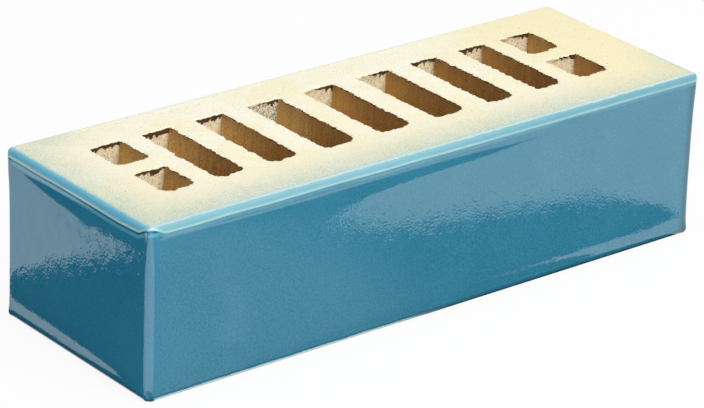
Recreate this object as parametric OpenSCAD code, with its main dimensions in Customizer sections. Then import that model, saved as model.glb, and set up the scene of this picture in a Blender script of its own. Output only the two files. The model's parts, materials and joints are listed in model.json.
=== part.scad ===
// Glazed perforated facing brick, format 250 x 85 x 65 mm.
// One fired piece: clay body, slots running through from bed to bed, glaze fused to the four sides.
// Lies on its bed: X along the length, Y along the width, Z up, origin at the middle of the lower bed.

/* [Body] */
// Length of the long glazed face (stretcher), mm
body_l = 250; // [240:1:290]
// Width of the bed, which is the length of the short glazed face (header), mm
body_w = 85; // [80:1:125]
// Height from bed to bed, mm
body_h = 65; // [50:1:90]
// Radius of the four upright corners, mm
corner_r = 3; // [1:0.25:5]
// Radius of the arrises between the beds and the glazed sides, mm
arris_r = 2.5; // [0.5:0.25:5]

/* [Slots] */
// Wall between the ends of the slots and the stretcher faces, mean of both sides, mm
side_wall = 20; // [12:0.5:24]
// Width of the three long slots in the middle, mm
mid_slot_w = 14.5; // [10:0.5:16]
// Width of the two long slots on either side of those, mm
outer_slot_w = 12.5; // [10:0.5:14]
// Clay left between one long slot and the next, mm
slot_web = 10.8; // [8:0.2:12]
// Width of the short slots at both ends, mm
end_slot_w = 14; // [10:0.5:15]
// Clay left between the short slots and the nearest long slot, mm
end_web = 8.5; // [7:0.25:10]
// Clay left between the two short slots of a pair, mm
pair_web = 8; // [6:0.5:12]
// Radius in the corners of every slot, mm
slot_corner_r = 1.25; // [0.5:0.25:3.5]
// How far the cores of the die drifted from the middle along the length, mm
core_drift_x = -2; // [-3:0.25:3]
// How far the cores of the die drifted from the middle across the width, mm
core_drift_y = 2.5; // [-3:0.25:3]

/* [View] */
// Part to draw

/* [Hidden] */
$fn = 64;
clay_colour = "Wheat";
// Cutters and profiles run past the body by this much
overrun = 5;
// Long slots on each side of the one in the middle, and how many of those are of the wide kind
side_slots = 3;
wide_side_slots = 1;
slot_l = body_w - 2 * side_wall;
end_slot_l = (slot_l - pair_web) / 2;
end_slot_y = (pair_web + end_slot_l) / 2;
end_slot_x = slot_x(side_slots) + slot_w(side_slots) / 2 + end_web + end_slot_w / 2;

// Width of the long slot number k, counted from the middle of the brick
function slot_w(k) = k <= wide_side_slots ? mid_slot_w : outer_slot_w;

// Centre of the long slot number k, carried outward slot by slot and web by web
function slot_x(k) = k == 0 ? 0 : slot_x(k - 1) + slot_w(k - 1) / 2 + slot_web + slot_w(k) / 2;

// Rectangle with true round corners, centred
module rounded_rectangle(size_x, size_y, r) {
    square([size_x - 2 * r, size_y], center = true);
    square([size_x, size_y - 2 * r], center = true);
    for (sx = [-1, 1], sy = [-1, 1]) {
        translate([sx * (size_x / 2 - r), sy * (size_y / 2 - r)]) circle(r);
    }
}

// Plan of the brick, carried up
module plan_prism() {
    translate([0, 0, -overrun])
        linear_extrude(body_h + 2 * overrun)
            rounded_rectangle(body_l, body_w, corner_r);
}

// Side elevation with its eased arrises, carried across the width
module stretcher_prism() {
    translate([0, body_w / 2 + overrun, body_h / 2])
        rotate([90, 0, 0])
            linear_extrude(body_w + 2 * overrun)
                rounded_rectangle(body_l, body_h, arris_r);
}

// End elevation with its eased arrises, carried along the length
module header_prism() {
    translate([-body_l / 2 - overrun, 0, body_h / 2])
        rotate([90, 0, 90])
            linear_extrude(body_l + 2 * overrun)
                rounded_rectangle(body_w, body_h, arris_r);
}

// Solid brick before the slots: what the three outlines have in common
module body() {
    intersection() {
        plan_prism();
        stretcher_prism();
        header_prism();
    }
}

// One slot from bed to bed
module slot(size_x, size_y) {
    translate([0, 0, -overrun])
        linear_extrude(body_h + 2 * overrun)
            rounded_rectangle(size_x, size_y, slot_corner_r);
}

// Row of long slots across the width
module long_slots() {
    slot(slot_w(0), slot_l);
    for (k = [1 : side_slots], s = [-1, 1]) {
        translate([s * slot_x(k), 0, 0]) slot(slot_w(k), slot_l);
    }
}

// Pair of short slots at either end
module short_slots() {
    for (sx = [-1, 1], sy = [-1, 1]) {
        translate([sx * end_slot_x, sy * end_slot_y, 0]) slot(end_slot_w, end_slot_l);
    }
}

module brick() {
    color(clay_colour)
        difference() {
            body();
            translate([core_drift_x, core_drift_y, 0]) {
                long_slots();
                short_slots();
            }
        }
}

brick();
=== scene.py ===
"""Glazed perforated facing brick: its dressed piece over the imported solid, and the stage it is shown on."""

import json
import math
from typing import NamedTuple

import bpy
import numpy as np
from mathutils import Color, Matrix, Vector


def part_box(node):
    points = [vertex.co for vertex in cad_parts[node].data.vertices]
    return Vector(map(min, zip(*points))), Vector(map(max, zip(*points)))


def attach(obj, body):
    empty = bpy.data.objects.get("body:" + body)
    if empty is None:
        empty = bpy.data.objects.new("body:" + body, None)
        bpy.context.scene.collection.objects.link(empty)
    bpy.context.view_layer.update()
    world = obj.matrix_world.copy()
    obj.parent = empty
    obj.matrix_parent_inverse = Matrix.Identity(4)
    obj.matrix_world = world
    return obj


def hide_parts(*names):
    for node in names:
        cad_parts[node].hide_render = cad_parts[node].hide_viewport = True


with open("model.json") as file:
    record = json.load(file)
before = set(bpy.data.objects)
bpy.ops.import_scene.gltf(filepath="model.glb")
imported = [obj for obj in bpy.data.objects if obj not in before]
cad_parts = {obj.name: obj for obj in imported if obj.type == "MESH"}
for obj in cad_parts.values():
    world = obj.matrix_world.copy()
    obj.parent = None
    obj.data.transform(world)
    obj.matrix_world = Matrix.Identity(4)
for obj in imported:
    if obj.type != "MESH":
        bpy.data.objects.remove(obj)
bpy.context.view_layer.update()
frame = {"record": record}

bl_info = {
    "name": "Glazed facing brick",
    "version": (1, 0, 0),
    "blender": (4, 5, 0),
    "location": "3D View > Sidebar > Brick",
    "description": "Dresses a perforated clay brick with glaze, bare beds and torn slots, and lights it",
    "category": "Object",
}

NODE = "brick"
BODY = "root"
SLOT = "glazed_clay"
PIECE = "glazed_brick"
MM = 1000.0
QUARTER = math.pi / 2
EIGHTH = math.pi / 4

# Share of the way from a cell's border to its slot's rim, for the rows on the upper and the lower bed
BED_ROWS = (np.array([0.0, 0.6, 0.82, 0.92, 0.97, 1.0]), np.array([0.0, 0.7, 0.93, 1.0]))
# Depths of the rows on a slot's wall below the upper rim, mm, close together where the rim is torn
WALL_ROWS = np.array([0.15, 0.4, 0.7, 1.05, 1.45, 1.9, 2.5, 3.3, 5.0, 9.0, 20.0, 42.0, 58.0, 63.2, 64.6])
# Share of the way from the slots' block to the arris, for the rows of the bed's margin
MARGIN_ROWS = np.array([0.0, 0.3, 0.6, 0.8, 0.93])
# Rows on a glazed side, as distance in mm from the nearer arris, for the upper and the lower half
SIDE_ROWS = (
    np.array(
        [0.2, 0.4, 0.6, 0.8, 1.0, 1.25, 1.5, 1.8, 2.2, 2.7]
        + [3.3, 4.0, 4.8, 5.6, 6.5, 7.5, 8.6, 10.0, 13.0, 20.0]
    ),
    np.array([0.3, 0.7, 1.2, 1.8, 2.5, 3.3, 4.2, 5.2, 6.3, 7.6, 9.0, 10.5, 14.0, 21.0]),
)
ARRIS_STEPS = 10
# Samples along one side of a cell: across a slot, and along the row of slots' depth
ACROSS = 26
ALONG = 90
# Samples on half of an upright corner
CORNER_STEPS = 6
# Bed between the slots and the border of their block, mm
BLOCK_MARGIN = 5.0
# Least radius of an outline that is drawn in, mm
LEAST_RADIUS = 0.3
# Steps per mm to which places are rounded where the grids are joined
JOIN_GRID = 2000.0
# Turn of the surface, up from upright, at which the glaze stops on an arris
GLAZE_TURN = math.radians(62.0)
# Distance given to points that have no glaze or bead near them, mm
NONE_NEAR = -60.0
# From this x on, over this length, the near rims are pulled out, where a slot's middle lies before this y, mm
PULL_START, PULL_LENGTH, PULL_LIMIT = -45.0, 14.0, 10.0
# Slots whose middle lies past this x on either side are the short ones at the ends, mm
SHORT_SLOTS = 80.0
# Past this x on either side the wire tore the far ends right across, save in the right short slots, mm
TORN_ACROSS = 40.0
# Past this x the rims are rougher, mm
ROUGH_RIMS = 40.0
# How far, in mm, a rim's wear reaches over the bed, its drop there, its wear and its smear down the wall
MOVE_REACH, DROP_REACH, WALL_REACH, SMEAR_REACH = 0.7, 0.35, 1.3, 8.0
# Offset along the waves that gives the lower half of a side its own, mm
OTHER_HALF = 300.0
# Middle of the slot with the peppered end wall, in x
PEPPERED_AT = -0.0273
CLAY_ROUGHNESS = 0.9
GLAZE_IOR = 1.75

WHITE = (1.0, 1.0, 1.0, 1.0)
# Colour of the floor under the lamps
PALE = (0.80, 0.80, 0.80, 1.0)
# Tint of everything the glaze mirrors
SHEEN = (0.92, 1.0, 1.01, 1.0)
FLOOR_SIZE, FLOOR_HEIGHT = 6.0, -0.0003
# Heights of the lowest card beside the front and left sides and beside the back, and from a card to the next
CARD_HEIGHT, BACK_CARD_HEIGHT, CARD_STEP = 0.0002, 0.0001, 0.00002
# x from which to which a card's brightness changes
GREY_SPAN = (-0.025, 0.040)
SOFTBOX_SIZE, SOFTBOX_AIM = (1.0, 0.8), (0.0, 0.0, 0.03)
# Width of the camera's frame, mm
FRAME_WIDTH = 36.0

# Corners of the cards on the floor, mm. The glaze mirrors them as painted reflections: the dark ones paint
# shade on the floor, the pale sheet and the glint paint light
LEFT_SHEET = [(-125, -42.5), (-125, 900), (-924, 900), (-924, 371)]
LEFT_FLAG = [
    (-125, -42.5), (-128.4, -22), (-129.6, -14), (-130.4, -5), (-131, 5), (-131.5, 15), (-132, 25),
    (-132.2, 34), (-132.6, 44), (-132.9, 54), (-133.4, 70), (-150, 69), (-163, 69), (-176, 66),
    (-185, 62), (-190, 57), (-197, 66), (-199, 77), (-195, 83), (-195, 91), (-198, 103), (-202, 116),
    (-205, 127), (-210, 140), (-216, 156), (-217, 160), (-222, 150), (-223, 138), (-226, 128),
    (-229, 119), (-233, 106), (-240, 80), (-240, 17),
]
LEFT_FOOT = [
    (-125, -38), (-125, 120), (-127.6, 120), (-128.1, 30), (-127.8, 5), (-127.9, -4), (-128.4, -14),
    (-128.6, -36),
]
LEFT_FAR = [(-234, 14), (-233, 106), (-232.5, 140), (-236, 200), (-260, 400), (-900, 900), (-900, 359)]
RIGHT_FLAG = [
    (-125, -42.5), (-40, -48), (0, -50.8), (23, -51.6), (59, -51.2), (80, -51.2), (91, -51), (102, -51.2),
    (116, -51.6), (124, -52.4), (130, -53.6), (133.5, -56.5), (134, -65), (130, -73), (121, -84),
    (102, -92), (83, -97), (62, -101), (45, -104), (31, -110), (22, -118), (19, -127), (37, -136),
    (57, -144), (84, -153), (104, -157), (124, -159), (136, -163), (147, -167.6), (166, -171.5),
    (147, -170.2), (136, -176), (120, -180), (30, -183), (-40, -190), (-105.3, -191),
]
RIGHT_FOOT = [
    (-118, -42.5), (-10, -42.5), (10, -39), (122, -39), (118, -43.6), (113, -44.6), (106, -45), (95, -45.4),
    (85, -46), (76, -47.6), (58, -50.4), (23, -51.6), (0, -50.8), (-40, -48), (-118, -45),
]
CORNER_FOOT = [(-121, -39), (-126, -39.5), (-127.6, -41.5), (-127.3, -44.6), (-124.4, -45.6), (-121, -44.6)]
RIGHT_FAR = [(-104.7, -195), (0, -196), (300, -197), (900, -900), (-11, -900)]
RIGHT_GLINT = [(-46, -113), (-37, -110), (-50, -84), (-70, -62), (-78, -66), (-58, -88)]


def setting(kind, **fixed):
    """Maker of one sort of property, which takes a name, a description and a default."""
    return lambda name, description, default: kind(
        name=name, description=description, default=default, **fixed
    )


# Lengths and places are in metres, colours linear
length = setting(bpy.props.FloatProperty, precision=5, unit="LENGTH")
share = setting(bpy.props.FloatProperty, min=0.0, max=1.0, subtype="FACTOR")
brightness = setting(bpy.props.FloatProperty, min=0.0, max=4.0, subtype="FACTOR")
power = setting(bpy.props.FloatProperty, unit="POWER")
focal_length = setting(bpy.props.FloatProperty, subtype="DISTANCE_CAMERA")
angle = setting(bpy.props.FloatProperty, unit="ROTATION")
whole_number = setting(bpy.props.IntProperty)
colour = setting(bpy.props.FloatVectorProperty, size=3, min=0.0, max=1.0, subtype="COLOR")
spot = setting(bpy.props.FloatVectorProperty, size=3, subtype="TRANSLATION")


class BrickForm(bpy.types.PropertyGroup):
    """Sizes of the fired clay under its glaze."""

    corner_radius: length("Corner radius", "Radius of the four upright corners", 0.003)
    arris_radius: length("Arris radius", "Radius between the beds and the sides", 0.0025)
    slot_radius: length("Slot corner radius", "Radius in the corners of the slots", 0.00125)
    smear_radius: length("Smeared radius", "Radius the wire left in the near corners of the rims", 0.0032)
    slot_clearance: length("Slot clearance", "How far a stated opening stays inside its slot", 0.00075)
    roll_height: length("Roll height", "Height over which a side rolls off towards its arrises", 0.010)
    roll_depth: length("Roll depth", "How far a side rolls off at its arrises", 0.00044)
    bead: length("Glaze bead", "Height of the bead of glaze under the arrises", 0.00022)
    bead_width: length("Bead width", "Half width of the bead", 0.00040)
    bead_drop: length("Bead drop", "How far the bead runs below the arris", 0.00075)
    taper: length("Band taper", "How far the bead climbs towards the bed at the near left corner", 0.0022)
    ear: length("Ears", "How far the upright corners flare out at the upper bed", 0.0016)
    ear_height: length("Ear height", "Height over which the ears fade", 0.009)
    recess: length("Recess", "How far the upright corners draw in between the beds", 0.00035)
    worn_foot: length("Worn foot", "How far the near left corner is worn back at the lower bed", 0.0009)
    foot_flare: length("Foot flare", "How far the other upright corners flare out at the lower bed", 0.0019)
    foot_height: length("Foot height", "Height over which the corners' feet fade", 0.004)
    warp: length("Warp of the sides", "Height of the long waves in the sides", 0.00003)
    bed_wave: length("Wave of the beds", "Height of the waves the cutting wire left", 0.00004)
    rim_pull: length("Rim pull", "How far the wire pulled the near rims out, from the third slot on", 0.0011)
    rim_spread: length("Rim spread", "How far the long sides of the rims open", 0.00025)
    rim_lean: share("Rim lean", "Shift of the rims towards the middle, per distance from it", 0.0095)
    wear: length("Rim wear", "Unevenness of the slots' rims", 0.00018)
    chip: length("Chips", "Depth of the chips in the slots' rims", 0.0006)
    burr: length("Burr", "How far torn clay stands into a slot at its far end", 0.0008)
    seed: whole_number("Seed", "Seed of the torn rims", 7)


class GlazeFinish(bpy.types.PropertyGroup):
    """Turquoise-blue glaze on the four sides."""

    deep: colour("Deep glaze", "Colour where the glaze lies thick", (0.0235, 0.170, 0.262))
    # painted light: the left header's own deep glaze, lighter and bluer than on the other sides
    deep_header_lit: colour("Deep glaze at the ends", "The same on the left header", (0.018, 0.194, 0.322))
    cloud: colour("Clouds", "What lighter clouds and grain add to the deep glaze", (0.021, 0.047, 0.060))
    thin: colour("Thin glaze", "Colour where the glaze runs thin over an arris", (0.205, 0.445, 0.515))
    # painted light: the left header's own thin glaze, lighter and bluer than on the other sides
    thin_header_lit: colour("Thin glaze at the ends", "The same on the left header", (0.165, 0.56, 0.76))
    bead: colour("Bead", "Colour of the crest of the bead under an arris", (0.47, 0.73, 0.72))
    slip: colour("White slip", "Colour of the slip that shows along the glaze's edge", (0.42, 0.585, 0.588))
    gloss: share("Roughness", "Roughness of the glaze", 0.035)
    peel: length("Orange peel", "Height of the finest ripple in the glaze", 0.000016)
    edge_wander: length("Edge wander", "How far the glaze's edge wanders along the arris", 0.0005)


class ClayFinish(bpy.types.PropertyGroup):
    """Bare clay on the beds and in the slots."""

    bed: colour("Bed", "Colour of the wire-cut beds", (0.890, 0.858, 0.702))
    bed_warm: colour("Warm bed", "Colour of the warmer clouds on the beds", (0.880, 0.795, 0.508))
    dust: colour("Dust", "Colour of the dust on the beds along the near arrises", (0.76, 0.72, 0.51))
    overspray: colour("Overspray", "Colour of the glaze mist on the beds", (0.42, 0.54, 0.47))
    overspray_reach: length("Overspray reach", "How far the glaze mist reaches in from the arrises", 0.018)
    wall: colour("Slot ends", "Colour of the slots' end walls", (0.95, 0.86, 0.61))
    # painted shade: the flanks' golden colour stands for the ends' clay in shade
    flank: colour("Slot flanks", "Colour of the slots' long walls", (0.72, 0.42, 0.112))
    # painted light on the far end of the left slots' flanks
    flank_far_lit: colour("Far flanks", "Colour of the left slots' flanks at the far end", (0.92, 0.62, 0.225))
    # painted shade on the long walls under the rims
    flank_rim_shade: colour("Flanks at the rims", "Colour of the long walls under the rims", (0.42, 0.245, 0.070))
    # dark brown under the rims, partly the torn clay's own colour and partly painted shadow under the burrs
    torn_clay_and_shadow: colour("Torn clay", "Colour of the torn clay under the rims", (0.092, 0.039, 0.008))
    speck: colour("Specks", "Colour of the iron specks", (0.16, 0.10, 0.05))
    grain: length("Grain", "Height of the sand grain", 0.00006)


class StageLook(bpy.types.PropertyGroup):
    """Floor, lamps and camera."""

    floor: share("Floor white", "Share of the floor that stays white in the camera's view", 0.92)
    mirror_floor: brightness("Mirrored floor", "Brightness of the floor as the glaze mirrors it", 1.20)
    # painted reflections: brightness of the cards the glaze mirrors, the sheet and the glint painted light,
    # the flags and feet painted shade on the floor
    sheet: brightness("Sheet", "Brightness of the pale sheet beside the left header", 1.12)
    flag: share("Flags", "Brightness of the dark flags as the glaze mirrors them", 0.02)
    flag_grey: share("Grey flag", "Brightness of the near end of the right flag", 0.38)
    foot_grey: share("Grey foot", "Brightness of the near end of the right foot", 0.22)
    glint: share("Glint", "Brightness of the glint in the front side", 0.6)
    ambient: share("Ambient", "Brightness of the room", 0.42)
    overhead: power("Overhead", "Power of the softbox overhead", 5.2)
    overhead_at: spot("Overhead place", "Place of the softbox overhead", (0.05, -0.20, 1.30))
    front: power("Front", "Power of the softbox at the front", 33.5)
    front_at: spot("Front place", "Place of the softbox at the front", (0.15, -1.60, 1.55))
    lens: focal_length("Lens", "Focal length on a 36 mm frame", 188.056)
    eye: spot("Eye", "Place of the camera", (-0.77640, -0.93214, 0.56526))
    aim: spot("Aim", "Point the camera looks at", (-0.00356, 0.00053, 0.02826))
    roll: angle("Roll", "Turn of the camera about its axis", math.radians(2.294))


def ease(t):
    """Smooth step: t held to 0..1, then 3 t squared less 2 t cubed."""
    t = np.clip(t, 0.0, 1.0)
    return t * t * (3.0 - 2.0 * t)


def jagged(rng, count, pitch, sharpness=1.0):
    """Closed jagged line of count samples: random heights 0..1, raised to a power, at knots pitch samples
    apart and joined by straight lines."""
    knots = max(3, round(count / pitch))
    height = rng.random(knots) ** sharpness
    return np.interp(np.arange(count) * knots / count, np.arange(knots + 1), np.append(height, height[0]))


def waves(a, b, wavelength, seed, count=18):
    """Sum of count sines of about one wavelength, in random directions over the two coordinates and at
    random phases, divided so that it stays within about -1..1."""
    rng = np.random.default_rng(seed)
    turn = rng.random(count) * math.pi
    number = 2.0 * math.pi / (wavelength * (0.7 + 0.8 * rng.random(count)))
    phase = rng.random(count) * 2.0 * math.pi
    at = a[..., None] * (np.cos(turn) * number) + b[..., None] * (np.sin(turn) * number) + phase
    return np.sin(at).sum(axis=-1) / math.sqrt(2.0 * count)


def rounded_loop(size_x, size_y, radius, steps_x, steps_y):
    """Rounded rectangle about the origin, counter-clockwise from its lower left corner. Each side runs
    from the middle of one corner's arc over its straight to the middle of the next arc, and is sampled at
    the given shares of that length. Returns points and outward normals."""
    half_arc = radius * EIGHTH
    points, normals = [], []
    for k in range(4):
        long, deep, steps = ((size_x, size_y, steps_x), (size_y, size_x, steps_y))[k % 2]
        straight = long - 2.0 * radius
        s = steps * (straight + 2.0 * half_arc) - half_arc
        turn = np.clip(s / radius, -EIGHTH, 0.0) + np.clip((s - straight) / radius, 0.0, EIGHTH)
        along = np.clip(s, 0.0, straight) - straight / 2.0 + radius * np.sin(turn)
        out = deep / 2.0 - radius + radius * np.cos(turn)
        u = np.array((math.cos(k * QUARTER), math.sin(k * QUARTER)))
        v = np.array((u[1], -u[0]))
        points.append(np.outer(along, u) + np.outer(out, v))
        normals.append(np.outer(np.sin(turn), u) + np.outer(np.cos(turn), v))
    return np.vstack(points), np.vstack(normals)


def corner_steps(count, straight, radius):
    """Shares of a side's length with CORNER_STEPS samples on each half arc and the rest evenly on the
    straight."""
    half_arc = radius * EIGHTH
    part = half_arc / (straight + 2.0 * half_arc)
    middle = np.linspace(part, 1.0 - part, count - 2 * CORNER_STEPS, endpoint=False)
    ends = np.linspace(0.0, part, CORNER_STEPS, endpoint=False)
    return np.concatenate((ends, middle, 1.0 - part + ends))


def cell_loop(xs, ys):
    """Rectangle through the given samples of its sides, counter-clockwise from the lower left corner."""
    sides = ((xs[:-1], ys[:1]), (xs[-1:], ys[:-1]), (xs[:0:-1], ys[-1:]), (xs[:1], ys[:0:-1]))
    return np.vstack([np.column_stack(np.broadcast_arrays(x, y)) for x, y in sides])


def ring_faces(rows, columns, first, flip):
    """Quads of a grid that closes on itself along its columns."""
    r, c = np.meshgrid(np.arange(rows - 1), np.arange(columns), indexing="ij")
    here, there = r * columns + c, r * columns + (c + 1) % columns
    quads = np.stack((here, there, there + columns, here + columns), axis=-1).reshape(-1, 4)
    return first + (quads[:, ::-1] if flip else quads)


class Facing(NamedTuple):
    """How far the normals along a slot's outline face back, front, right and left, each 0..1."""

    far: np.ndarray
    near: np.ndarray
    east: np.ndarray
    west: np.ndarray


class Rim(NamedTuple):
    """One rim of a slot, along its outline and in mm: how far wear and chips move it out, how far a burr
    stands in and hangs down, how far down the wall is torn, and how far the rim lies below its bed."""

    shift: np.ndarray
    burr: np.ndarray
    hang: np.ndarray
    torn: np.ndarray
    drop: np.ndarray


class Clay:
    """Gathers the grids of one closed piece: places in mm and the values its material reads."""

    names = ("edge_mm", "ridge_mm", "depth_mm", "torn", "flank", "corner")

    def __init__(self, size, form):
        self.size = size
        self.form = form
        self.places, self.values, self.faces, self.count = [], {n: [] for n in self.names}, [], 0

    def bed_height(self, x, y, upper):
        """Height of a bed: the brick's own, lowered by waves across the wire's path."""
        wave = self.form.bed_wave * MM * (1.0 + waves(x * 0.25, y, 14.0, 3 if upper else 4))
        return self.size[2] - wave if upper else wave

    def bed_edge(self, x, y):
        """Distance from the glaze's edge on a bed, less than 0: a step over the arris, then the way in."""
        arris = self.form.arris_radius * MM
        inward = np.minimum(self.size[0] / 2 - arris - abs(x), self.size[1] / 2 - arris - abs(y))
        return -arris * (QUARTER - GLAZE_TURN) - inward

    def add(self, place, flip, **values):
        """Adds one closed grid of rows by columns."""
        rows, columns = place.shape[:2]
        self.faces.append(ring_faces(rows, columns, self.count, flip))
        self.places.append(place.reshape(-1, 3))
        for name in self.names:
            self.values[name].append(np.broadcast_to(values.get(name, 0.0), (rows, columns)).reshape(-1))
        self.count += rows * columns

    def smear(self, loop, rounder, out, facing, middle, size):
        """How far the cutting wire smeared a slot's outline, in x and y: near corners rounded off, near
        rims pulled out, less so towards their right corners, long sides spread, and all of it leaning to
        the brick's middle."""
        form = self.form
        smear = (rounder - loop) * ease(-loop[:, 1:] / size[1] * 2.0 - 0.2)
        reached = ease((middle[0] - PULL_START) / PULL_LENGTH) * (middle[1] < PULL_LIMIT)
        pulled = form.rim_pull * MM * reached * (1.0 - 0.8 * ease(loop[:, 0] / size[0] * 2.5 - 0.25))
        spread = (facing.east + facing.west) * form.rim_spread * MM
        smear = smear + out * (facing.near * pulled + spread)[:, None]
        held = 0.5 * facing.east * (abs(middle[0]) > SHORT_SLOTS)
        smear[:, 0] -= form.rim_lean * middle[0] * (1.0 - held)
        return smear

    def torn_rim(self, rng, facing, middle, across, drag):
        """One rim: wear, chips, and burrs that are longest at the far end, where the wire tore out."""
        form, n = self.form, len(facing.far)
        far, near, east = facing.far, facing.near, facing.east
        wear = 1.2 * jagged(rng, n, 7) + 1.4 * jagged(rng, n, 2.4) + 3.8 * rng.random(n) - 3.2
        wear = wear * form.wear * MM * (1.5 if middle[0] > ROUGH_RIMS else 1.0)
        chip = form.chip * MM * ease((jagged(rng, n, 8) - 0.80 + 0.12 * near) / 0.2)
        where = np.maximum(ease((jagged(rng, n, 11) - 0.12) / 0.3), 0.7 * across)
        burr = far * where * (0.35 + 0.85 * jagged(rng, n, 3.0, 1.3))
        burr = burr + east * (0.10 + 0.85 * jagged(rng, n, 1.8, 2.6))
        burr = burr + (1.0 - np.maximum(far, east)) * 0.45 * jagged(rng, n, 3.0, 2.0)
        hang = 0.35 + far * 1.5 * jagged(rng, n, 3.0) + 0.4 * jagged(rng, n, 2.5)
        torn = far * (0.3 + where * drag * (0.8 + 2.3 * jagged(rng, n, 1.25, 1.4)))
        torn = np.maximum(torn, east * (0.25 + 0.9 * jagged(rng, n, 1.2, 2.4)))
        drop = 0.07 + 0.6 * chip + 0.06 * rng.random(n)
        return Rim(wear + chip, form.burr * MM * burr, hang, torn, drop)

    def slot_bed(self, rim, loop, out, smear, border, upper):
        """Rows of one bed from the border of a slot's cell to its rim: straight ways in, moved along the
        outline's normal and lowered close to the rim. Returns the places, and 1 where the rim is torn."""
        f = BED_ROWS[0 if upper else 1][:, None]
        base = border + (loop + smear - border) * f[..., None]
        away = np.linalg.norm(loop - border, axis=1) * (1.0 - f)
        reaches = (MOVE_REACH, DROP_REACH)
        moved, lowered = (np.where(f > 0.0, np.exp(-away / reach), 0.0) for reach in reaches)
        flat = base + out * ((rim.shift - rim.burr) * moved)[..., None]
        z = self.bed_height(flat[..., 0], flat[..., 1], upper)
        z = z - (1.0 if upper else -1.0) * rim.drop * lowered
        return np.dstack((flat, z)), np.where(f > 0.999, rim.torn > 0.25, 0.0)

    def slot(self, middle, size, cell, seed):
        """One slot and its cell of both beds as a single grid: a profile that runs in over the upper bed,
        down the wall and out over the lower bed, carried round the slot's outline. The outline is moved
        along its normal by wear, chips and burrs that fade with distance from the rim, and by slight
        upright streaks."""
        form, height = self.form, self.size[2]
        rng = np.random.default_rng(form.seed * 1000 + seed)
        steps = [np.arange(len(side) - 1) / (len(side) - 1) for side in cell]
        loop, out = rounded_loop(*size, form.slot_radius * MM, *steps)
        rounder = rounded_loop(*size, form.smear_radius * MM, *steps)[0]
        sides = (out[:, 1], -out[:, 1], out[:, 0], -out[:, 0])
        facing = Facing(*(ease((side - 0.3) / 0.5) for side in sides))
        smear = self.smear(loop, rounder, out, facing, middle, size)
        across = middle[0] < -TORN_ACROSS or TORN_ACROSS < middle[0] < SHORT_SLOTS
        drag = 1.0 if across else ease(loop[:, 0] / size[0] * 1.6 + 0.4)
        rims = [self.torn_rim(rng, facing, middle, across, drag) for _ in BED_ROWS]
        loop, border, n = loop + middle, cell_loop(*cell), len(loop)
        upper, upper_torn = self.slot_bed(rims[0], loop, out, smear, border, True)
        lower, lower_torn = self.slot_bed(rims[1], loop, out, smear, border, False)
        lower, lower_torn = lower[::-1], lower_torn[::-1]
        # wall, from rim to rim
        d = WALL_ROWS[:, None] * (height / WALL_ROWS[[0, -1]].sum())
        z = upper[-1, :, 2] - d / height * (upper[-1, :, 2] - lower[0, :, 2])
        move = 0.05 * (jagged(rng, n, 2.2) - 0.5)
        move = move + 0.07 * waves(np.arange(n) * 0.45, d * 0.35, 9.0, seed)
        torn = np.zeros_like(move)
        for rim, deep in zip(rims, (d, height - d)):
            move = move + rim.shift * np.exp(-deep / WALL_REACH)
            move = move - rim.burr * np.exp(-((deep / rim.hang) ** 2))
            torn = np.maximum(torn, ease((rim.torn - deep) / 0.35))
        depth = np.broadcast_to(np.minimum(d, height - d), move.shape)
        faded = smear * np.exp(-depth / SMEAR_REACH)[..., None]
        wall = np.dstack((loop + faded + out * move[..., None], z))
        edges = [self.bed_edge(bed[..., 0], bed[..., 1]) for bed in (upper, lower)]
        self.add(
            np.concatenate((upper, wall, lower)),
            False,
            edge_mm=np.concatenate((edges[0], np.full(move.shape, NONE_NEAR), edges[1])),
            ridge_mm=NONE_NEAR,
            depth_mm=np.concatenate((np.zeros(upper.shape[:2]), depth, np.zeros(lower.shape[:2]))),
            torn=np.concatenate((upper_torn, torn, lower_torn)),
            flank=ease((abs(out[:, 0]) - 0.68) / 0.12),
        )

    def side_half(self, rows, turn):
        """Profile of half a side, from the bed to mid height: the arris through the given turns, then the
        rows with a roll that grows with the square of the nearness to the arris. Columns are the height
        lost, the inset, the way from the glaze's edge, and the share of the turn to upright."""
        form, arris = self.form, self.form.arris_radius * MM
        flat = np.zeros(len(rows))
        below = np.concatenate((np.zeros(len(turn)), rows))
        upright = np.concatenate((1.0 - turn / QUARTER, flat + 1.0))
        roll = form.roll_depth * MM * np.clip(1.0 - below / (form.roll_height * MM), 0.0, 1.0) ** 2
        drop = np.concatenate((arris * (1.0 - np.sin(turn)), arris + rows))
        inset = np.concatenate((arris * (1.0 - np.cos(turn)), flat)) + roll * upright
        edge = np.concatenate((arris * (GLAZE_TURN - turn), arris * GLAZE_TURN + rows))
        return np.column_stack((drop, inset, edge, upright))

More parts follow.
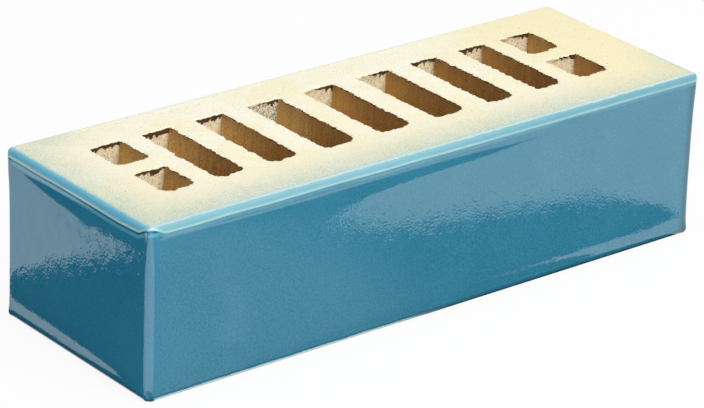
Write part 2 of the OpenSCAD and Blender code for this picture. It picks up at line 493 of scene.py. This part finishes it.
    def glaze_relief(self, flat, out, lap, drop, z, upper):
        """How far a side stands out from its profile: long waves, a bell-shaped bead under each arris
        that sways and climbs at the near left corner, and upright corners that flare at the beds and draw
        in between them. Returns that, the way down from the bead's crest, and how far round an upright
        corner a point lies."""
        form, (size_x, size_y, height) = self.form, self.size
        warp = form.warp * MM * waves(lap, z, 55.0, 11)
        bend = np.minimum(abs(out[..., 0]), abs(out[..., 1])) * math.sqrt(2.0)
        front = ease((-out[..., 1] - 0.4) / 0.4)
        sway = waves(lap, OTHER_HALF * upper, 30.0, 12) * (1.0 - 0.6 * front)
        away = np.maximum(size_x / 2 - abs(flat[..., 0]), size_y / 2 - abs(flat[..., 1]))
        near_left = (flat[..., 0] < 0.0) & (flat[..., 1] < 0.0)
        climb = form.taper * MM * ease(1.0 - (away - 1.5) / 6.0) * (upper & near_left)
        ridge = drop - form.arris_radius * MM + climb
        ridge = ridge - form.bead_drop * MM * (1.0 - 0.6 * front + 0.4 * sway)
        crest = form.bead * MM * (0.75 + 0.35 * waves(lap, OTHER_HALF * upper, 24.0, 13))
        crest = crest * np.where(upper, 1.0, 0.4) * (1.0 - 0.8 * ease(bend))
        bead = crest * np.exp(-((ridge / (form.bead_width * MM)) ** 2))
        flare = np.where(upper, form.ear, np.where(near_left, -form.worn_foot, form.foot_flare))
        flare = flare * np.exp(-drop / (np.where(upper, form.ear_height, form.foot_height) * MM))
        lean = np.where(out[..., 0] > 0.0, 0.2 + 2.0 * z / height, 1.0)
        ear = (flare - form.recess * lean) * MM * ease(bend)
        return warp + bead + ear, ridge, bend

    def skin(self, block):
        """Margin of both beds, arrises and glazed sides as a single grid: a profile that runs out over
        the upper bed, turns down over the arris, down the side and back in over the lower bed, carried
        round the brick's outline."""
        form, (size_x, size_y, height) = self.form, self.size
        corner, arris = form.corner_radius * MM, form.arris_radius * MM
        inner = cell_loop(*block)

        def outline(inset):
            """Rounded outline of the brick, drawn in by inset."""
            r = max(corner - inset, LEAST_RADIUS)
            sides = (size_x - 2.0 * inset, size_y - 2.0 * inset)
            steps = [corner_steps(len(line) - 1, side - 2.0 * r, r) for line, side in zip(block, sides)]
            return rounded_loop(*sides, r, *steps)

        shoulder = outline(arris)[0]
        margin = inner + (shoulder - inner) * MARGIN_ROWS[:, None, None]
        turn = np.linspace(QUARTER, math.atan2(2.0 * form.roll_depth, form.roll_height), ARRIS_STEPS + 1)
        halves = [self.side_half(rows, turn) for rows in SIDE_ROWS]
        profile = np.vstack((halves[0], halves[1][::-1]))
        loops = [outline(inset) for inset in profile[:, 1]]
        flat, out = np.stack([points for points, _ in loops]), np.stack([normals for _, normals in loops])
        drop, _, edge, upright = (column[:, None] for column in profile.T)
        upper = np.arange(len(profile))[:, None] < len(halves[0])
        z = np.where(upper, height - drop, drop)
        lap = np.cumsum(np.linalg.norm(np.diff(shoulder, axis=0, append=shoulder[:1]), axis=1))
        move, ridge, bend = self.glaze_relief(flat, out, lap, drop, z, upper)
        flat = flat + out * (move * upright)[..., None]
        side = np.dstack((flat, np.broadcast_to(z, move.shape)))
        heights = (self.bed_height(margin[..., 0], margin[..., 1], up) for up in (True, False))
        top, foot = (np.dstack((margin, bed)) for bed in heights)
        bed_edge = self.bed_edge(margin[..., 0], margin[..., 1])
        none = np.zeros_like(bed_edge)
        self.add(
            np.concatenate((top, side, foot[::-1])),
            True,
            edge_mm=np.concatenate((bed_edge, np.broadcast_to(edge, move.shape), bed_edge[::-1])),
            ridge_mm=np.concatenate((none + NONE_NEAR, ridge, none + NONE_NEAR)),
            corner=np.concatenate((none, bend * upright, none)),
        )

    def mesh(self, name):
        """Joins the grids where their borders meet and puts them into a mesh, in metres."""
        place = np.vstack(self.places)
        grid = np.round(place * JOIN_GRID).astype(np.int64)
        _, first, again = np.unique(grid, axis=0, return_index=True, return_inverse=True)
        faces = again.reshape(-1)[np.vstack(self.faces)]
        made = bpy.data.meshes.new(name)
        made.vertices.add(len(first))
        made.vertices.foreach_set("co", (place[first] / MM).astype(np.float32).reshape(-1))
        made.loops.add(faces.size)
        made.loops.foreach_set("vertex_index", faces.astype(np.int32).reshape(-1))
        made.polygons.add(len(faces))
        made.polygons.foreach_set("loop_start", np.arange(0, faces.size, 4, dtype=np.int32))
        made.polygons.foreach_set("use_smooth", np.ones(len(faces), dtype=bool))
        for value in self.names:
            layer = made.attributes.new(value, "FLOAT", "POINT")
            layer.data.foreach_set("value", np.concatenate(self.values[value])[first].astype(np.float32))
        made.update(calc_edges=True)
        made.validate()
        return made


class Socket:
    """One output of a shader node. Arithmetic on it adds Math nodes to the same tree."""

    def __init__(self, shader, socket):
        self.shader = shader
        self.socket = socket

    def maths(self, operation, *values):
        return self.shader.node("ShaderNodeMath", {"operation": operation}, dict(enumerate(values)))

    def __add__(self, other):
        return self.maths("ADD", self, other)

    def __sub__(self, other):
        return self.maths("SUBTRACT", self, other)

    def __rsub__(self, other):
        return self.maths("SUBTRACT", other, self)

    def __mul__(self, other):
        return self.maths("MULTIPLY", self, other)

    def __abs__(self):
        return self.maths("ABSOLUTE", self)

    __radd__ = __add__
    __rmul__ = __mul__

    def ramp(self, low, high):
        """Smooth step from 0 at low to 1 at high, or the other way round where low is the larger."""
        return self.shader.node(
            "ShaderNodeMapRange",
            {"interpolation_type": "SMOOTHSTEP"},
            {"Value": self, "From Min": low, "From Max": high, "To Min": 0.0, "To Max": 1.0},
        )


class Shader:
    """A material's or world's node tree."""

    def __init__(self, owner):
        owner.use_nodes = True
        self.tree = owner.node_tree
        self.tree.nodes.clear()

    def node(self, kind, settings, sockets, output=0):
        """Adds a node of that type: first its settings, then the values or links of its sockets. Returns
        an output."""
        made = self.tree.nodes.new(kind)
        for name, value in settings.items():
            setattr(made, name, value)
        for name, value in sockets.items():
            usable = [s for s in made.inputs if not s.is_unavailable]
            target = usable[name] if isinstance(name, int) else next(s for s in usable if s.name == name)
            if isinstance(value, Socket):
                self.tree.links.new(value.socket, target)
            else:
                target.default_value = (*value, 1.0) if isinstance(value, Color) else value
        usable = [s for s in made.outputs if not s.is_unavailable]
        if not usable:
            return None
        return Socket(self, usable[output] if isinstance(output, int) else made.outputs[output])

    def value(self, name):
        """Value that the mesh carries at its points."""
        return self.node("ShaderNodeAttribute", {"attribute_name": name}, {}, "Fac")

    def place(self, stretch=(1.0, 1.0, 1.0)):
        """Object coordinates, stretched."""
        at = self.node("ShaderNodeTexCoord", {}, {}, "Object")
        return self.node("ShaderNodeMapping", {}, {"Vector": at, "Scale": stretch})

    def noise(self, at, size, detail=2.0, rough=0.5):
        """Noise of about that size in metres, 0..1."""
        values = {"Vector": at, "Scale": 1.0 / size, "Detail": detail, "Roughness": rough}
        return self.node("ShaderNodeTexNoise", {"noise_dimensions": "3D"}, values)

    def cells(self, at, size):
        """Distance to the nearest of random points about that size apart, in parts of that size."""
        return self.node("ShaderNodeTexVoronoi", {"feature": "F1"}, {"Vector": at, "Scale": 1.0 / size})

    def mix(self, factor, a, b, blend="MIX"):
        """Colour between a and b."""
        settings = {"data_type": "RGBA", "blend_type": blend, "clamp_factor": True}
        return self.node("ShaderNodeMix", settings, {"Factor": factor, "A": a, "B": b})


class FiredClay:
    """Material of the whole piece. How far a point lies from the glaze's edge and from the bead, how deep
    in a slot and how torn the clay is there are values of the mesh, in mm; noise on Object coordinates,
    in metres, breaks them up. What a ramp gives is a mask from 0 to 1."""

    def __init__(self, glaze, clay):
        self.glaze, self.clay = glaze, clay
        self.material = bpy.data.materials.new(SLOT)
        self.shader = s = Shader(self.material)
        self.at = at = s.place()
        axes = (s.node("ShaderNodeSeparateXYZ", {}, {"Vector": at}, axis) for axis in "XYZ")
        self.x, self.y, self.z = axes
        values = (s.value(name) for name in Clay.names)
        self.edge, self.ridge, self.depth, self.torn, self.flank, self.corner = values
        self.fine = s.noise(at, 0.0006, 3.0, 0.6)
        self.sand = s.noise(at, 0.0003, 2.0, 0.6)
        self.broad = s.noise(at, 0.030, 2.0)
        self.patch = s.noise(at, 0.006, 3.0, 0.55)
        wander = (s.noise(at, 0.004, 3.0, 0.6) - 0.5) * (glaze.edge_wander * 2.0 * MM)
        self.rim = self.edge + (wander + (self.fine - 0.5) * 0.6)
        self.glazed = self.rim.ramp(-0.08, 0.12)
        self.in_slot = self.depth.ramp(0.0, 0.25)
        self.header = self.x.ramp(-0.1205, -0.1225)

    def glaze_colour(self):
        """Deep and clouded on the sides, and lighter along the long sides towards the left header. Painted
        light makes the left header's glaze lighter, and painted shade darkens the front right upright corner.
        Under the upper arris come a pale crest, partly pale glaze and partly a painted highlight, then a
        lighter and a dark line, painted reflections; above the crest the glaze is thin and pale, with white
        slip at its edge. Dark lines run along the foot, painted shade where the brick meets the floor, with
        pale slip on the left of the front, a painted reflection of the floor."""
        s, glaze, x, y, header = self.shader, self.glaze, self.x, self.y, self.header
        patch, rim = self.patch, self.rim
        crest = self.ridge + (patch - 0.5) * 0.25
        top = self.z.ramp(0.030, 0.036)
        bent = self.corner.ramp(0.2, 0.7)
        right = x.ramp(-0.02, 0.09)
        painted_corner_shade = x.ramp(0.1185, 0.1225) * y.ramp(-0.037, -0.040)
        # painted light: the left header takes lighter copies of the thin and the deep glaze
        thin = s.mix(header, glaze.thin, glaze.thin_header_lit)
        thin = s.mix(right * 0.25, thin, glaze.deep)
        dark = glaze.deep * 0.4
        cloud = (self.broad * 0.7 + patch * 0.3).ramp(0.35, 0.68) * 0.32
        # the long sides also grow lighter towards the left header
        cloud = cloud + x.ramp(0.0, -0.09) * (1.0 - header) * 0.4 + 0.13
        cloud = cloud + (s.noise(self.at, 0.0008, 1.0) - 0.5) * (2.3 - header * 0.9)
        # painted light: lighter deep glaze on the left header
        made = s.mix(header, glaze.deep, glaze.deep_header_lit)
        made = s.mix(cloud, made, glaze.cloud, "ADD")
        made = s.mix(bent * x.ramp(0.0, -0.1) * 0.06, made, glaze.bead)
        # painted shade along the front right upright corner
        made = s.mix(painted_corner_shade * 0.7, made, dark)
        # lines under the crest, a lighter and a dark one, which are painted reflections, and thin glaze above
        # it
        under = abs(crest - 1.0 - header * 0.9).ramp(0.95, 0.4)
        made = s.mix(under * top * (0.40 + header * 0.05), made, thin)
        dark_reflection_line = abs(crest - 0.9).ramp(0.5, 0.15) * (1.0 - bent)
        made = s.mix(dark_reflection_line * top * (0.05 + header * 0.6), made, dark)
        made = s.mix(crest.ramp(0.42, 0.2) * top, made, thin)
        # the pale crest: partly pale glaze and partly a painted highlight
        lighter = crest.ramp(0.5, 0.1) * crest.ramp(-1.3, -0.1) * (1.0 - header) * 0.12
        pale = abs(crest).ramp(0.58, 0.18) * (0.40 + header * 0.45 - right * 0.16)
        made = s.mix((pale + lighter) * top, made, glaze.bead)
        made = s.mix(rim.ramp(0.5, 0.1) * top * (0.25 + 0.6 * self.fine), made, glaze.slip)
        # foot: a dark line, then slip on the left of the front and dark glaze elsewhere; the dark line and
        # the dark glaze are painted shade where the brick meets the floor, the slip there a painted
        # reflection of the floor
        foot = (1.0 - top) * (1.0 - bent)
        near = x.ramp(0.012, -0.030) * (1.0 - header)
        made = s.mix(abs(rim - 2.4).ramp(0.5, 0.15) * foot * 0.5, made, dark)
        return s.mix(rim.ramp(2.1, 1.7) * foot * 0.85, made, s.mix(near, dark, glaze.slip))

    def bed_colour(self, speck):
        """Cream with warmer clouds, sand, specks, and dust and a mist of glaze, most of them along the
        front and left arrises."""
        s, clay, x, y = self.shader, self.clay, self.x, self.y
        edge, fine, patch = self.edge, self.fine, self.patch
        reach = clay.overspray_reach * MM
        front = y.ramp(-0.004, -0.034) * (1.0 - x.ramp(0.04, 0.11) * 0.4)
        left = x.ramp(-0.090, -0.112)
        beside = left * (1.0 - y.ramp(-0.036, -0.041))
        warm = (self.broad * 0.6 + patch * 0.4).ramp(0.38, 0.66) * 0.7 + x.ramp(0.050, 0.110)
        made = s.mix(warm, clay.bed, clay.bed_warm)
        dusty = (edge + (patch - 0.5) * 6.0).ramp(reach * -1.9, reach * -0.6)
        made = s.mix(dusty * (front * 0.6 + left * 0.3), made, clay.dust)
        made = s.mix((self.sand - 0.5) * 2.2 + (fine - 0.52) * 2.4, made, clay.bed * 0.70)
        mist = (edge + (patch - 0.5) * 7.0).ramp(-reach, 1.0)
        windward = front * 0.80 + left * (1.0 - front * 0.9) * 0.60 + 0.03
        made = s.mix(mist * windward * (fine * 3.2 - 0.85), made, clay.overspray)
        halo = (self.rim - beside * 1.2).ramp(-2.8, -0.6)
        halo = halo * (front * (1.0 - beside) * 0.75 + left * 0.5 + 0.1)
        made = s.mix(halo * (fine * 2.0), made, self.glaze.slip)
        return s.mix(speck * 0.75, made, clay.speck)

    def slot_colour(self, pit, peppered):
        """Pale ends with dark pits. Golden flanks with upright streaks; their colour is a shaded copy of the
        ends' clay, lighter at the far ends on the left as painted light, and darker near the front, under the
        rims, deep down and along the corners as painted shade. Torn and dark at the rims, partly the torn
        clay's own colour and partly painted shadow under the burrs."""
        s, clay, x, y, flank = self.shader, self.clay, self.x, self.y, self.flank
        depth, fine = self.depth, self.fine
        streak = s.noise(s.place((1.0, 1.0, 0.03)), 0.0012, 3.0, 0.6)
        first, last = x.ramp(-0.078, -0.084), x.ramp(0.084, 0.090)
        # painted light and shade: the flanks take a shaded copy of the ends' clay, lightened at the far ends
        # on the left; shaded is a darker copy of it
        nearer = y.ramp(0.014, -0.010) * (1.0 - first * 0.75)
        sunlit = (x.ramp(0.020, -0.024) + last * 0.5) * (1.0 - nearer)
        shaded = Color([c * f for c, f in zip(clay.flank, (0.56, 0.39, 0.18))])
        made = s.mix(sunlit, clay.flank, clay.flank_far_lit)
        made = s.mix(flank, clay.wall, made)
        # painted shade: darker deep down and towards the front, mixed with the upright streaks and grain
        deep = (depth + (streak - 0.5) * 14.0).ramp(8.0, 45.0)
        made = s.mix(deep * (0.2 + flank * 0.4), made, shaded)
        dim = y.ramp(0.026, -0.018) * (0.7 - first * 0.45 - last * 0.35)
        made = s.mix(((streak - 0.45) * 1.3 + (fine - 0.5) * 3.0 + dim) * flank, made, shaded)
        # painted shade on the flanks under the rims
        made = s.mix(depth.ramp(7.5, 0.5) * flank * 0.5, made, clay.flank_rim_shade)
        # painted shade along the slots' upright corners
        made = s.mix(abs(flank - 0.5).ramp(0.5, 0.25) * 0.5, made, shaded)
        made = s.mix((fine - 0.52) * 3.2 * (1.0 - flank), made, clay.flank)
        made = s.mix(peppered * 0.6, made, clay.bed)
        made = s.mix(pit * (0.45 + peppered * 0.5) * (1.0 - flank * 0.6), made, clay.speck)
        # torn clay at the rims, partly its own dark colour and partly painted shadow under the burrs
        ragged = self.torn + (fine - 0.5) * 0.6
        torn_and_shaded = ragged.ramp(0.6, 1.0) * self.broad
        torn_and_shaded = s.mix(torn_and_shaded, clay.torn_clay_and_shadow * 0.5, clay.torn_clay_and_shadow * 2.4)
        return s.mix(ragged.ramp(0.35, 0.65), made, torn_and_shaded)

    def relief(self, speck, pit):
        """Height in mm: orange peel on the glaze, livelier at the fringe of what the header mirrors and
        calmer towards the arrises, and grain on the clay."""
        s, at, x, y, z, header = self.shader, self.at, self.x, self.y, self.z, self.header
        above = z + y * 0.45 - 0.034
        lively = above.ramp(-0.014, -0.008) * above.ramp(0.010, 0.003) * header
        fleck = s.noise(s.place((1.1, 1.1, 1.0)), 0.00085, 0.0) * (self.patch.ramp(0.38, 0.62) * 3.0 + 2.6)
        fleck = fleck * (0.78 - header * 0.13 + lively * (0.1 + y.ramp(-0.015, 0.012) * 0.5))
        ripple = (s.noise(at, 0.0024, 0.0) - 0.5) * lively * 5.0
        swell = s.noise(at, 0.0052, 0.0) * (3.5 + header * (z.ramp(0.010, 0.022) * 5.0 - 2.0))
        wild = x.ramp(-0.118, -0.124) * y.ramp(-0.008, -0.016)
        peel = fleck + ripple + swell
        peel = peel * (1.0 - z.ramp(0.046, 0.054) * (1.0 - wild) * 0.91)
        peel = peel * (1.0 - z.ramp(0.055, 0.058) * 0.8)
        peel = peel * (1.0 - z.ramp(0.008, 0.003) * 0.7)
        peel = peel * (1.0 - z.ramp(0.014, 0.009) * header * 0.4)
        grain = self.fine + self.sand * 0.6 - pit * self.in_slot * 1.2 - speck * 0.8
        peel, grain = peel * (self.glaze.peel * MM), grain * (self.clay.grain * MM)
        return self.glazed * peel + (1.0 - self.glazed) * grain

    def finish(self):
        """Puts colour, gloss and relief together and returns the material."""
        s, at, glazed, patch = self.shader, self.at, self.glazed, self.patch
        speck = (s.cells(at, 0.0034) + (patch - 0.5) * 0.06).ramp(0.085, 0.04)
        # the end wall of the third slot is peppered with smaller pits
        peppered = abs(self.x - PEPPERED_AT).ramp(0.009, 0.007) * (1.0 - self.flank)
        pit = (s.cells(at, 0.0009) + (self.fine - 0.5) * 0.7).ramp(0.36, 0.20) * (1.0 - peppered)
        pit = pit + s.cells(at, 0.00062).ramp(0.45, 0.30) * peppered
        base = s.mix(self.in_slot, self.bed_colour(speck), self.slot_colour(pit, peppered))
        base = s.mix(glazed, base, self.glaze_colour())
        rough = (1.0 - glazed) * CLAY_ROUGHNESS + glazed * (self.glaze.gloss + (patch - 0.5) * 0.02)
        bump = {"Strength": 1.0, "Distance": 1.0 / MM, "Height": self.relief(speck, pit)}
        normal = s.node("ShaderNodeBump", {}, bump)
        look = {"Base Color": base, "Roughness": rough, "IOR": GLAZE_IOR, "Normal": normal}
        bsdf = s.node("ShaderNodeBsdfPrincipled", {}, look)
        s.node("ShaderNodeOutputMaterial", {}, {"Surface": bsdf})
        return self.material


class BRICK_OT_dress(bpy.types.Operator):
    """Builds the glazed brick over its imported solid"""

    bl_idname = "brick.dress"
    bl_label = "Dress the brick"

    def execute(self, context):
        scene = context.scene
        form = scene.brick_form
        low, high = (np.array(c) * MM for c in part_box(NODE))
        clay = Clay(high - low, form)
        boxes = [np.array(o["box_m"]) * MM for o in frame["record"]["physics"]["openings"]]
        if not boxes:
            raise RuntimeError("the packed record states no slots")
        gap = form.slot_clearance * MM
        centres = np.array([(b[0, :2] + b[1, :2]) / 2 for b in boxes])
        sizes = np.array([b[1, :2] - b[0, :2] + 2 * gap for b in boxes])
        # columns of slots, and the borders of their cells in the middle of the webs
        columns = np.unique(np.round(centres[:, 0], 3))
        width = np.array([sizes[abs(centres[:, 0] - x) < 0.01, 0].max() for x in columns])
        lefts, rights = columns - width / 2, columns + width / 2
        webs = (lefts[1:] + columns[:-1] + width[:-1] / 2) / 2
        borders = np.concatenate(([lefts[0] - BLOCK_MARGIN], webs, [rights[-1] + BLOCK_MARGIN]))
        low_y = (centres[:, 1] - sizes[:, 1] / 2).min() - BLOCK_MARGIN
        high_y = (centres[:, 1] + sizes[:, 1] / 2).max() + BLOCK_MARGIN
        all_y = np.linspace(low_y, high_y, ALONG + 1)
        halves = (all_y[: ALONG // 2 + 1], all_y[ALONG // 2 :])
        web_y = all_y[ALONG // 2]
        xs = [np.linspace(a, b, ACROSS + 1) for a, b in zip(borders[:-1], borders[1:])]
        for k, (middle, size) in enumerate(zip(centres, sizes)):
            column = int(np.argmin(abs(columns - middle[0])))
            ys = all_y if abs(middle[1] - web_y) < 1.0 else halves[int(middle[1] > web_y)]
            clay.slot(middle, size, (xs[column], ys), k)
        clay.skin((np.concatenate([x[:-1] for x in xs] + [xs[-1][-1:]]), all_y))
        piece = bpy.data.objects.new(PIECE, clay.mesh(PIECE))
        scene.collection.objects.link(piece)
        piece.data.materials.append(FiredClay(scene.brick_glaze, scene.brick_clay).finish())
        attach(piece, BODY)
        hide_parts(NODE)
        return {"FINISHED"}


def flat_card(name, corners, height):
    """Flat polygon on the floor through the given points, in metres."""
    mesh = bpy.data.meshes.new(name)
    mesh.from_pydata([(x, y, height) for x, y in corners], [], [tuple(range(len(corners)))])
    card = bpy.data.objects.new(name, mesh)
    bpy.context.scene.collection.objects.link(card)
    return card


def mirror_only(card, left, right, span):
    """Makes a card that only mirror-like surfaces see, with one brightness at the first x of the span and
    another at the last."""
    material = bpy.data.materials.new(card.name)
    s = Shader(material)
    x = s.node("ShaderNodeSeparateXYZ", {}, {"Vector": s.place()}, "X")
    level = x.ramp(*span) * (right - left) + left
    glow = s.node("ShaderNodeEmission", {}, {"Color": SHEEN, "Strength": level})
    s.node("ShaderNodeOutputMaterial", {}, {"Surface": glow})
    card.data.materials.append(material)
    card.visible_camera = card.visible_diffuse = card.visible_shadow = False
    card.visible_transmission = card.visible_volume_scatter = False


def softbox(name, place, watts):
    """Rectangular lamp that faces the brick."""
    lamp = bpy.data.lights.new(name, "AREA")
    lamp.shape = "RECTANGLE"
    lamp.size, lamp.size_y = SOFTBOX_SIZE
    lamp.energy = watts
    made = bpy.data.objects.new(name, lamp)
    made.location = place
    made.rotation_euler = (Vector(SOFTBOX_AIM) - Vector(place)).to_track_quat("-Z", "Y").to_euler()
    bpy.context.scene.collection.objects.link(made)
    return made


class BRICK_OT_stage(bpy.types.Operator):
    """Makes the floor, the lamps, the room and the camera"""

    bl_idname = "brick.stage"
    bl_label = "Set the stage"

    def execute(self, context):
        scene = context.scene
        look = scene.brick_stage
        self.floor(look)
        self.flags(look)
        self.room(scene, look)
        softbox("overhead_softbox", look.overhead_at, look.overhead)
        front = softbox("front_softbox", look.front_at, look.front)
        front.visible_glossy = False
        self.camera(scene, look)
        scene.view_settings.view_transform = "Standard"
        return {"FINISHED"}

    def floor(self, look):
        """Pale floor: white to the camera and in mirrors, a plain pale surface to everything else, with
        the brick's shadow."""
        half = FLOOR_SIZE / 2
        floor = flat_card("floor", [(-half, -half), (half, -half), (half, half), (-half, half)], FLOOR_HEIGHT)
        material = bpy.data.materials.new("pale_floor")
        s = Shader(material)
        rays = ("Is Camera Ray", "Is Glossy Ray", "Is Transmission Ray")
        camera, glossy, through = (s.node("ShaderNodeLightPath", {}, {}, ray) for ray in rays)
        paint = s.node("ShaderNodeBsdfDiffuse", {}, {"Color": PALE})
        tint = s.mix(glossy, WHITE, SHEEN)
        level = camera + glossy * look.mirror_floor + through
        white = s.node("ShaderNodeEmission", {}, {"Color": tint, "Strength": level})
        factor = camera * look.floor + glossy + through
        both = s.node("ShaderNodeMixShader", {}, {0: factor, 1: paint, 2: white})
        s.node("ShaderNodeOutputMaterial", {}, {"Surface": both})
        floor.data.materials.append(material)

    def flags(self, look):
        """Cards on the floor that only the glaze mirrors, painted reflections: the dark ones paint shade on
        the floor, the pale sheet and the glint paint light. They lie beside the left and front sides, and the
        front side's again beside the back. Each has its brightness on the left and on the right, and its
        corners in mm."""
        dim, sheet, glint = (look.flag, look.flag), (look.sheet, look.sheet), (look.glint, look.glint)
        cards = {
            "left_sheet": (sheet, LEFT_SHEET),
            "left_flag": (dim, LEFT_FLAG),
            "left_foot": (dim, LEFT_FOOT),
            "left_far": (dim, LEFT_FAR),
            "right_flag": ((look.flag_grey, look.flag), RIGHT_FLAG),
            "right_foot": ((look.foot_grey, look.flag), RIGHT_FOOT),
            "corner_foot": (dim, CORNER_FOOT),
            "right_far": (dim, RIGHT_FAR),
            "right_glint": (glint, RIGHT_GLINT),
        }
        for k, (name, ((left, right), corners)) in enumerate(cards.items()):
            card = flat_card(name, [(a / MM, b / MM) for a, b in corners], CARD_HEIGHT + CARD_STEP * k)
            mirror_only(card, left, right, GREY_SPAN)
        # turned half round and below the cards of the left side, so that those cover them
        turned = {"right_flag": "back_flag", "right_foot": "back_foot", "right_far": "back_far"}
        for k, (front, name) in enumerate(turned.items()):
            (left, right), corners = cards[front]
            card = flat_card(name, [(-a / MM, -b / MM) for a, b in corners], BACK_CARD_HEIGHT + CARD_STEP * k)
            mirror_only(card, right, left, (-GREY_SPAN[1], -GREY_SPAN[0]))

    def room(self, scene, look):
        """Plain room: white to the camera, dim along the horizon and paler overhead to mirrors, even to
        everything else."""
        world = bpy.data.worlds.new("room")
        scene.world = world
        s = Shader(world)
        rays = ("Is Camera Ray", "Is Glossy Ray")
        camera, glossy = (s.node("ShaderNodeLightPath", {}, {}, ray) for ray in rays)
        at = s.node("ShaderNodeTexCoord", {}, {}, "Generated")
        up = s.node("ShaderNodeSeparateXYZ", {}, {"Vector": at}, "Z")
        mirrored = up.ramp(0.02, 0.7) * 0.55 + 0.04
        level = camera + (1.0 - camera) * (glossy * mirrored + (1.0 - glossy) * look.ambient)
        sky = s.node("ShaderNodeBackground", {}, {"Color": WHITE, "Strength": level})
        s.node("ShaderNodeOutputWorld", {}, {"Surface": sky})

    def camera(self, scene, look):
        """Camera at the photograph's angle: looks from eye to aim, then turns about its axis."""
        lens = bpy.data.cameras.new("camera")
        lens.lens, lens.sensor_width, lens.sensor_fit = look.lens, FRAME_WIDTH, "HORIZONTAL"
        lens.clip_start, lens.clip_end = 0.05, 20.0
        made = bpy.data.objects.new("camera", lens)
        ahead = (Vector(look.aim) - Vector(look.eye)).normalized()
        right = ahead.cross(Vector((0.0, 0.0, 1.0))).normalized()
        right = Matrix.Rotation(-look.roll, 3, ahead) @ right
        up = right.cross(ahead)
        made.matrix_world = Matrix.Translation(look.eye) @ Matrix((right, up, -ahead)).transposed().to_4x4()
        scene.collection.objects.link(made)
        scene.camera = made


class BRICK_PT_panel(bpy.types.Panel):
    """Lists the brick's settings and steps"""

    bl_idname = "BRICK_PT_panel"
    bl_label = "Glazed brick"
    bl_space_type = "VIEW_3D"
    bl_region_type = "UI"
    bl_category = "Brick"

    def draw(self, context):
        for attribute in GROUPS:
            group = getattr(context.scene, attribute)
            box = self.layout.box()
            for name in group.__annotations__:
                box.prop(group, name)
        self.layout.operator(BRICK_OT_dress.bl_idname)
        self.layout.operator(BRICK_OT_stage.bl_idname)


GROUPS = {
    "brick_form": BrickForm,
    "brick_glaze": GlazeFinish,
    "brick_clay": ClayFinish,
    "brick_stage": StageLook,
}
CLASSES = (*GROUPS.values(), BRICK_OT_dress, BRICK_OT_stage, BRICK_PT_panel)


def register():
    for each in CLASSES:
        bpy.utils.register_class(each)
    for name, group in GROUPS.items():
        setattr(bpy.types.Scene, name, bpy.props.PointerProperty(type=group))


def unregister():
    for name in GROUPS:
        delattr(bpy.types.Scene, name)
    for each in reversed(CLASSES):
        bpy.utils.unregister_class(each)


def main():
    register()
    bpy.ops.brick.dress()
    bpy.ops.brick.stage()


if __name__ == "__main__":
    main()
